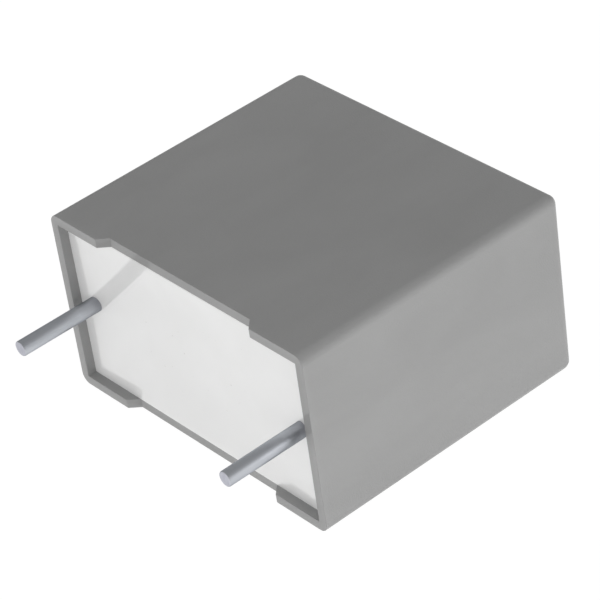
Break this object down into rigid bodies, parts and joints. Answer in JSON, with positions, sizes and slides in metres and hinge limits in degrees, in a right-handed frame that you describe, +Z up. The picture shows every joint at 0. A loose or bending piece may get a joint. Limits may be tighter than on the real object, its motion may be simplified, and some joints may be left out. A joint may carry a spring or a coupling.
{
  "type": "box film capacitor",
  "caption": "Box film capacitor: a grey moulded case potted with off-white resin, with stand-off feet on its rim and straight tinned wire leads for a circuit board.",
  "frame": {"origin": "where the axis of the left lead crosses the plane of the stand-off feet, which is the plane of the circuit board", "axes": "+X along the row of leads, from the left lead to the right one; -Y the way the leads point, away from the case; +Z up, across the thickness of the case, which lies on a large side"},
  "size_m": [0.018, 0.02, 0.01],
  "materials": {
    "case_plastic": "fine satin moulding",
    "potting_resin": "satin cast resin",
    "metallised_film": "metallised film edges",
    "sprayed_metal": "rough sprayed zinc",
    "tinned_wire": "satin tin on drawn wire"
  },
  "bodies": {
    "root": {"case": "case_plastic", "potting_resin": "potting_resin", "film_winding": "metallised_film", "end_spray_left": "sprayed_metal", "end_spray_right": "sprayed_metal", "lead_left": "tinned_wire", "lead_right": "tinned_wire"}
  },
  "joints": []
}
